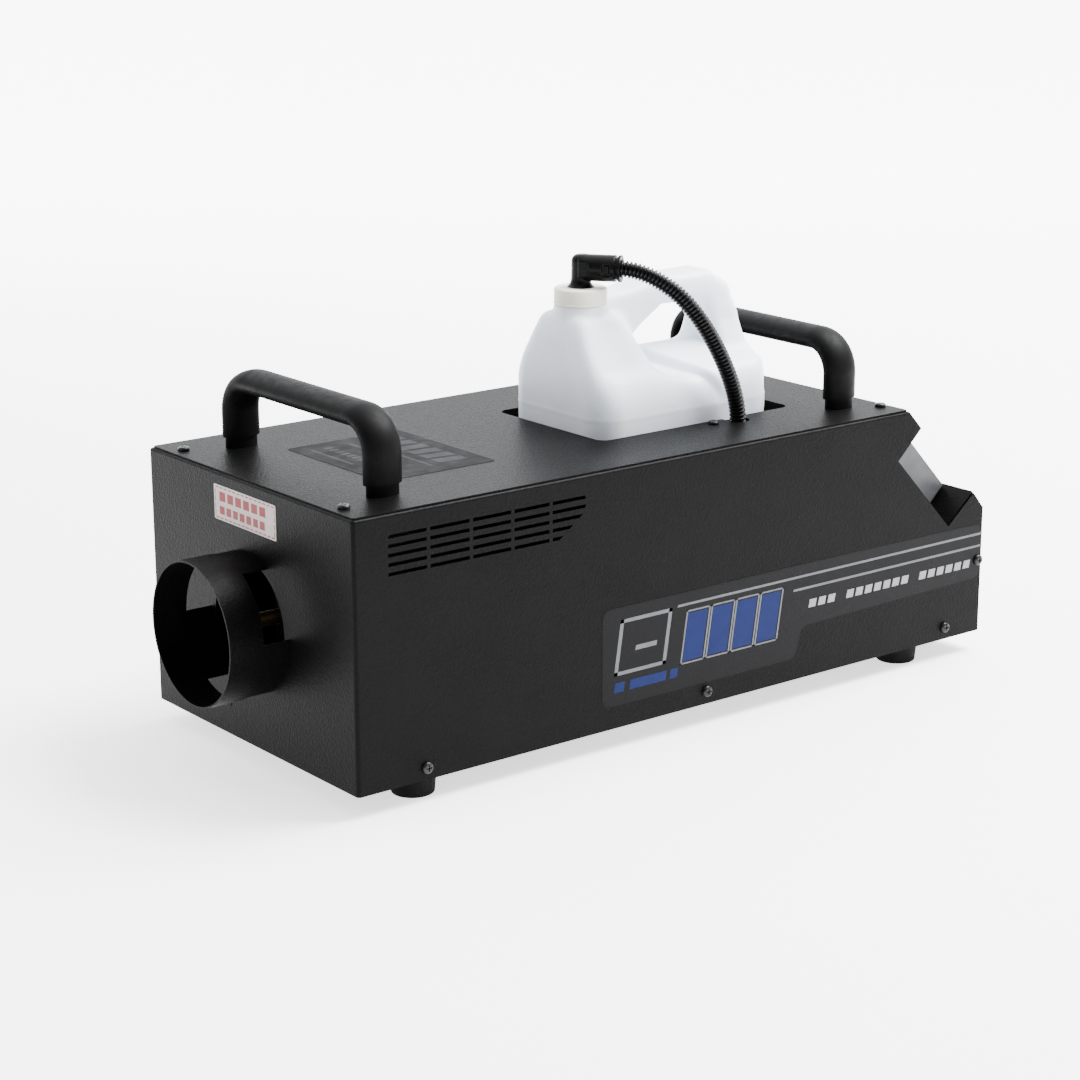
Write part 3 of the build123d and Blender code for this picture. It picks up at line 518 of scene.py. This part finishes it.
# ------------------------------------------------------------------------------- jug
JUG_MID = (3.5, 393.5)
JUG_HALF = (63.5, 95.5)
JUG_CORNER_R = 24.0
JUG_FLOOR = 72.4
PLATFORM_Z = 309.0
CREST_Z = 273.0
TOWER_HALF_W = 62.5
NECK_R = 22.0
SEAM_Z = 228.0
CREASE_DEPTH = 8.0
# The grip's line in (y, z), with its half depth at each point, and its half width by y and by z.
GRIP = [(340, 300, 20.0), (360.5, 303, 20.5), (398, 319.5, 12.0), (450, 319.5, 12.5), (464, 309, 14.5),
        (471, 288, 16.0), (473, 262, 17.0), (473, 225, 17.0)]
GRIP_WIDTH_Y = ((346, 398, 440, 462), (15.0, 19.0, 19.5, 60.0))
GRIP_WIDTH_Z = ((225, 262, 288, 306), (54.0, 33.0, 21.5, 19.5))
# Where the crease behind the tower runs: y by distance from the middle, and how it falls back lower down.
CREASE_Y = ((0.0, 41.5, 56.5, 63.5), (387.0, 408.0, 420.0, 424.0))
CREASE_BACK = ((222.0, 238.0, 254.0), (11.0, 8.0, 0.0))


def round_box_2d(u, v, half_u, half_v, radius):
    du = np.abs(u) - (half_u - radius)
    dv = np.abs(v) - (half_v - radius)
    return np.hypot(np.maximum(du, 0), np.maximum(dv, 0)) + np.minimum(np.maximum(du, dv), 0) - radius


def rise(value, low, high):
    """A smooth step from 0 to 1."""
    t = np.clip((value - low) / (high - low), 0.0, 1.0)
    return t * t * (3.0 - 2.0 * t)


def grip_field(x, y, z):
    """A bent bar whose depth and width change along its line."""
    best = np.full_like(x, 1e6)
    for (y0, z0, d0), (y1, z1, d1) in zip(GRIP, GRIP[1:]):
        dy, dz = y1 - y0, z1 - z0
        t = np.clip(((y - y0) * dy + (z - z0) * dz) / (dy * dy + dz * dz), 0, 1)
        d = np.hypot(y - y0 - t * dy, z - z0 - t * dz)
        best = smooth_min(best, d - d0 - t * (d1 - d0), 2.0)
    width = np.minimum(np.interp(y, *GRIP_WIDTH_Y), np.interp(z, *GRIP_WIDTH_Z))
    return smooth_max(best, np.abs(x - NECK[0]) - width, 10.0)


def jug_field(x, y, z):
    """The jug's outer skin: square body, tower up to the neck, creased saddle and grip."""
    u, v = x - JUG_MID[0], y - JUG_MID[1]
    w = np.abs(u)
    ahead = np.interp(w, *CREASE_Y) + np.interp(z, *CREASE_BACK) - y
    sunk = CREASE_DEPTH * rise(z, 224.0, 262.0) * rise(ahead, -1.0, 7.0) * (1.0 - rise(ahead, 8.0, 62.0))
    seam = 0.5 * np.exp(-((z - SEAM_Z) / 1.1) ** 2)
    plan = round_box_2d(u, v, JUG_HALF[0], JUG_HALF[1], JUG_CORNER_R) - seam
    side = (w - TOWER_HALF_W + 0.585 * (z - 245.0)) * 0.863
    rear = (y - 369.0 + 0.35 * (z - 278.0)) * 0.94
    tower = smooth_max(smooth_max(side, rear, 26.0), z - PLATFORM_Z, 7.0)
    fall = (z - CREST_Z + 0.27 * w) * 0.965 + sunk
    low = smooth_max(fall, (w - TOWER_HALF_W + 0.5 * (z - 252.0)) * 0.9, 10.0)
    front = -(y - 295.8 - 0.11 * np.maximum(z - 250.0, 0.0))
    skin = smooth_max(smooth_max(plan + sunk, front, 3.0), JUG_FLOOR - z, 9.0)
    skin = smooth_max(skin, smooth_min(tower, low, 10.0), 10.0)
    grip = smooth_max(grip_field(x, y, z), plan, 8.0)
    skin = smooth_min(skin, grip, 7.0)
    radial = np.hypot(x - NECK[0], y - NECK[1])
    neck = smooth_max(radial - NECK_R - 0.2 * np.maximum(315.0 - z, 0.0), np.abs(z - 309.7) - 5.7, 0.8)
    return smooth_min(skin, neck, 2.0)


def make_jug():
    low = (JUG_MID[0] - 67, JUG_MID[1] - 102, JUG_FLOOR - 4)
    high = (JUG_MID[0] + 67, JUG_MID[1] + 102, 340.0)
    verts, faces = field_mesh(jug_field, low, high, 1.8)
    jug = new_mesh("fluid_jug", row(verts), faces, "jug", MATERIALS["hdpe_jug"])
    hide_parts("jug")


make_jug()


# ----------------------------------------------------------------------- cap and elbow
CAP_R = 22.4
CAP_LOW, CAP_HIGH = 315.8, 329.5


def make_cap():
    """A screw cap with a lip at its foot, faint ribs and a flat top round the elbow's foot."""
    side = CAP_R - 0.5
    profile = [(20.2, CAP_LOW), (CAP_R - 0.2, CAP_LOW), (CAP_R, CAP_LOW + 0.3), (CAP_R, CAP_LOW + 1.2),
               (CAP_R - 0.2, CAP_LOW + 1.5), (side, CAP_LOW + 1.7), (side, CAP_LOW + 2.4),
               (side, CAP_HIGH - 2.0),
               (side - 0.2, CAP_HIGH - 1.1), (side - 0.8, CAP_HIGH - 0.4), (side - 1.8, CAP_HIGH),
               (side - 4.0, CAP_HIGH - 0.15), (12.0, CAP_HIGH - 0.15), (9.4, CAP_HIGH - 0.15),
               (9.4, CAP_HIGH - 2.4)]
    fluted = {6, 7}

    def ripple(angle, i):
        return 0.10 * math.cos(90 * angle) if i in fluted else 0.0

    verts, faces = lathe(profile, 540, (NECK[0], NECK[1], 0.0), ripple=ripple)
    cap = new_mesh("screw_cap", verts, faces, "cap", MATERIALS["cap_ivory"])
    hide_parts("jug_cap")


STEM_R = 7.8
STEM_FOOT_Z = 318.0
ARM_R = 11.1
BORE_R = 7.3
GROOVE_R = 8.5
SCALLOP_R, SCALLOP_AT, SCALLOP_OFF = 6.4, 3.2, 9.0
WINDOW_AT, TONGUE_AT = 23.3, 23.9


def elbow_field(x, y, z):
    """The elbow: a flared stem, a fat arm with a flat and a latch on each side, a groove and a flange."""
    dx, dy, h = x - NECK[0], y - NECK[1], z - ELBOW_Z
    along = dx * math.cos(ELBOW_TURN) + dy * math.sin(ELBOW_TURN)
    off = np.abs(dx * math.sin(ELBOW_TURN) - dy * math.cos(ELBOW_TURN))
    top = ELBOW_Z + ARM_R
    flare = (ARM_R - STEM_R) * np.exp(-np.maximum(z - 329.9, 0.0) / 2.4) * (z > 329.7)
    stem_ends = np.abs(z - (top + STEM_FOOT_Z) / 2) - (top - STEM_FOOT_Z) / 2
    stem = smooth_max(np.hypot(dx, dy) - STEM_R - flare, stem_ends, 7.0)
    ring = np.hypot(off, h)
    groove_at = ELBOW_ARM - 4.6
    arm = smooth_max(ring - ARM_R, np.abs(along - groove_at / 2) - groove_at / 2, 0.5)
    scallop = np.maximum(np.hypot(along - SCALLOP_AT, h) - SCALLOP_R, SCALLOP_OFF - off)
    arm = smooth_max(arm, -scallop, 0.6)
    body = smooth_min(stem, arm, 1.5)
    teeth = 0.35 * np.cos(24 * np.arctan2(h, off))
    body = np.minimum(body, smooth_max(ring - GROOVE_R - teeth, np.abs(along - ELBOW_ARM + 3.5) - 2.6, 0.3))
    body = np.minimum(body, smooth_max(ring - ARM_R, np.abs(along - ELBOW_ARM + 1.2) - 1.2, 0.3))
    window = np.maximum(np.maximum(np.abs(along - WINDOW_AT) - 3.6, np.abs(h) - 5.5), 8.2 - off)
    tongue = np.maximum(np.maximum(np.abs(along - TONGUE_AT) - 1.8, np.abs(h) - 3.4), off - 9.5)
    body = np.minimum(smooth_max(body, -window, 0.3), np.maximum(tongue, 7.6 - off))
    body = smooth_max(body, z - top, 0.1)
    return smooth_max(body, -np.maximum(ring - BORE_R, ELBOW_ARM - 12.0 - along), 0.3)


def make_elbow():
    low = (NECK[0] - 14, NECK[1] - 14, 316.0)
    high = (NECK[0] + 46, NECK[1] + 40, ELBOW_Z + 15.5)
    verts, faces = field_mesh(elbow_field, low, high, 0.55)
    elbow = new_mesh("elbow_fitting", row(verts), faces, "jug", MATERIALS["black_plastic"])
    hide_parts("cap_elbow")


make_cap()
make_elbow()


# -------------------------------------------------------------------------- graphics
INK = 0.06
FILM = 0.22


def side_point(side):
    """On a case side: u runs to the rear, v up, w outwards."""
    return lambda u, v, w: (side * (HALF_W + w), u, v)


def deck_point(u, v, w):
    """On the deck: u runs across, v to the rear, w up."""
    return (u, v, DECK_Z + w)


def front_point(u, v, w):
    """On the front panel: u runs across, v up, w outwards."""
    return (u, -w, v)


def on_film(to_point):
    """The same face, raised by the thickness of a film."""
    return lambda u, v, w: to_point(u, v, w + FILM)


def rounded(points, radius, arc=6):
    """An outline with its corners rounded."""
    out = []
    n = len(points)
    for i in range(n):
        p0, p1, p2 = (Vector(points[(i + j - 1) % n]) for j in range(3))
        a, b = (p0 - p1), (p2 - p1)
        reach = min(radius, 0.45 * a.length, 0.45 * b.length)
        start, end = p1 + a.normalized() * reach, p1 + b.normalized() * reach
        for k in range(arc + 1):
            t = k / arc
            out.append(tuple((1 - t) ** 2 * start + 2 * t * (1 - t) * p1 + t * t * end))
    return out


def slanted(u0, u1, v0, v1, lean):
    """A parallelogram bar that leans to the rear as it rises."""
    return [(u0, v0), (u1, v0), (u1 + lean, v1), (u0 + lean, v1)]


def frame_bars(u0, u1, v0, v1, lean, line):
    """The four strokes of a slanted outline."""
    slope = lean / (v1 - v0)
    return [
        slanted(u0, u1, v0, v0 + line, slope * line),
        slanted(u0 + slope * (v1 - v0 - line), u1 + slope * (v1 - v0 - line), v1 - line, v1, slope * line),
        slanted(u0, u0 + line * 1.2, v0, v1, lean),
        slanted(u1 - line * 1.2, u1, v0, v1, lean),
    ]


def make_decal(side):
    """A dark film with slanted blue blocks, silver outlines and two pinstripes to the rear."""
    name = "near" if side > 0 else "far"
    to_point = side_point(side)
    rear = 667.0
    shape = [(234, 19), (444, 19), (450, 46), (rear, 50), (rear, 99), (440, 100.5), (234, 100.5)]
    outline = rounded(shape, 9.0)
    if side < 0:
        outline = outline[::-1]
    base = film(f"{name}_decal_film", outline, FILM, "case", DECAL_FILM, to_point)
    blocks = [slanted(318 + 27.0 * i, 318 + 27.0 * i + 21.0, 42, 82, 6.0) for i in range(4)]
    blue = [slanted(246, 256, 30, 38, 1.5)] + [slanted(262, 300, 30, 38, 1.5), slanted(304, 312, 30, 38, 1.5)]
    silver = frame_bars(246, 300, 44, 90, 7.0, 3.0)
    silver += [slanted(268, 290, 62, 66, 0.8)]
    for i in range(4):
        silver += frame_bars(315.5 + 27.0 * i, 315.5 + 27.0 * i + 26.0, 39.5, 84.5, 6.8, 1.3)
    stripes = [[(312, 89), (rear, 89), (rear, 91), (313, 91)],
               [(440, 78), (rear, 78), (rear, 80), (440.5, 80)]]
    dash_at = [458 + 11.0 * i for i in range(18) if i not in (3, 11)]
    dashes = [slanted(u, u + 8.0, 61, 68, 1.5) for u in dash_at]
    layers = (("blue", blocks + blue, INK_BLUE), ("silver", silver + stripes, INK_SILVER),
              ("dashes", dashes, INK_WHITE))
    for label, bars, ink in layers:
        if side < 0:
            bars = [b[::-1] for b in bars]
        plates(f"{name}_decal_{label}", bars, INK, "case", ink, on_film(to_point))


def make_deck_label():
    """A dark square on the deck with plain pale bars."""
    outline = rounded([(-66, 80), (69, 80), (69, 189), (-66, 189)], 4.0)
    base = film("deck_label", outline, FILM, "case", MATERIALS["label_film"], deck_point)
    bars = [slanted(-50 + 17 * i, -50 + 17 * i + 12, 150, 176, 3.0) for i in range(6)]
    bars += [slanted(-50, 52, 138, 141, 0.4), slanted(-50, 20, 128, 131, 0.4)]
    bars += [slanted(-50 + 8 * i, -50 + 8 * i + 5.5, 104, 112, 0.6) for i in range(12)]
    bars += [slanted(-50, 10, 92, 95, 0.3)]
    plates("deck_label_bars", bars, INK, "case", INK_DIM, on_film(deck_point))


def make_front_sticker():
    """A pale sticker with a dashed red edge and plain red bars."""
    outline = rounded([(-46, 176), (43, 176), (43, 204), (-46, 204)], 1.5)[::-1]
    base = film("front_sticker", outline, FILM, "case", INK_PALE, front_point)
    bars = []
    for i in range(14):
        u = -43.5 + 6.2 * i
        bars += [[(u, 177.4), (u + 4.2, 177.4), (u + 4.2, 178.3), (u, 178.3)],
                 [(u, 201.7), (u + 4.2, 201.7), (u + 4.2, 202.6), (u, 202.6)]]
    for i in range(4):
        v = 178.8 + 5.8 * i
        bars += [[(-44.6, v), (-43.7, v), (-43.7, v + 4.2), (-44.6, v + 4.2)],
                 [(40.7, v), (41.6, v), (41.6, v + 4.2), (40.7, v + 4.2)]]
    for count, pitch, width, low, high in ((6, 11.6, 8.5, 191.5, 199), (7, 9.7, 7.0, 181, 187.5)):
        for i in range(count):
            u = -38 + pitch * i
            bars.append([(u, low), (u + width, low), (u + width, high), (u, high)])
    bars = [b[::-1] for b in bars]
    ink = plates("front_sticker_bars", bars, INK, "case", INK_RED, on_film(front_point))
    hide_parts("labels")


make_decal(1)
make_decal(-1)
make_deck_label()
make_front_sticker()


# ----------------------------------------------------------------------- the studio
def area_light(name, place, target, size, power, colour=(1, 1, 1)):
    data = bpy.data.lights.new(name, "AREA")
    data.shape = "RECTANGLE"
    data.size, data.size_y = size
    data.energy = power
    data.color = colour
    lamp = bpy.data.objects.new(name, data)
    bpy.context.scene.collection.objects.link(lamp)
    lamp.location = place
    lamp.rotation_euler = (Vector(target) - Vector(place)).to_track_quat("-Z", "Y").to_euler()


FAR = (-0.79, 0.61, 0.0)


def towards(tree, vector, way):
    """How far a direction or place lies along a fixed way."""
    node = tree.nodes.new("ShaderNodeVectorMath")
    node.operation = "DOT_PRODUCT"
    node.inputs[1].default_value = way
    link(tree, vector, node.inputs[0])
    return node.outputs["Value"]


def spread(tree, value, low, high, first, last):
    """A value mapped smoothly from one range to another."""
    node = tree.nodes.new("ShaderNodeMapRange")
    node.interpolation_type = "SMOOTHSTEP"
    for socket, number in zip(("From Min", "From Max", "To Min", "To Max"), (low, high, first, last)):
        node.inputs[socket].default_value = number
    link(tree, value, node.inputs["Value"])
    return node.outputs["Result"]


def make_studio():
    """White paper that glows towards its far end, a surround dark at the near side, large soft lights."""
    material, tree, shader = nodes_of("floor_paper")
    place = coords(tree)
    link(tree, ramp(tree, noise(tree, place, 3.0, 4.0), [(0.3, grey(0.89)), (0.7, grey(0.91))]),
         shader.inputs["Base Color"])
    shader.inputs["Roughness"].default_value = 0.8
    shader.inputs["Specular IOR Level"].default_value = 0.2
    shader.inputs["Emission Color"].default_value = (1, 1, 1, 1)
    glow = spread(tree, towards(tree, place, FAR), 0.2, 3.5, 1.6, 7.0)
    link(tree, glow, shader.inputs["Emission Strength"])
    mesh = bpy.data.meshes.new("floor")
    size = 14.0
    corners = [(-size, -size, 0), (size, -size, 0), (size, size, 0), (-size, size, 0)]
    mesh.from_pydata(corners, [], [(0, 1, 2, 3)])
    mesh.materials.append(material)
    floor = bpy.data.objects.new("floor", mesh)
    bpy.context.scene.collection.objects.link(floor)
    world = bpy.data.worlds.new("surround")
    bpy.context.scene.world = world
    world.use_nodes = True
    sky = world.node_tree
    way = sky.nodes.new("ShaderNodeTexCoord").outputs["Generated"]
    background = sky.nodes["Background"]
    background.inputs["Color"].default_value = (0.96, 0.98, 1.0, 1)
    bright_side = towards(sky, way, (-0.62, 0.52, 0.58))
    link(sky, spread(sky, bright_side, -0.3, 0.9, 0.25, 3.9), background.inputs["Strength"])
    area_light("key", (0.5, 1.3, 2.3), (0, 0, 0.2), (1.6, 1.6), 330)
    area_light("side", (2.6, 1.2, 1.3), (0.1, 0, 0.2), (1.4, 1.0), 16)
    area_light("front", (-0.4, -2.6, 1.5), (0, 0, 0.2), (1.6, 1.0), 12)


make_studio()
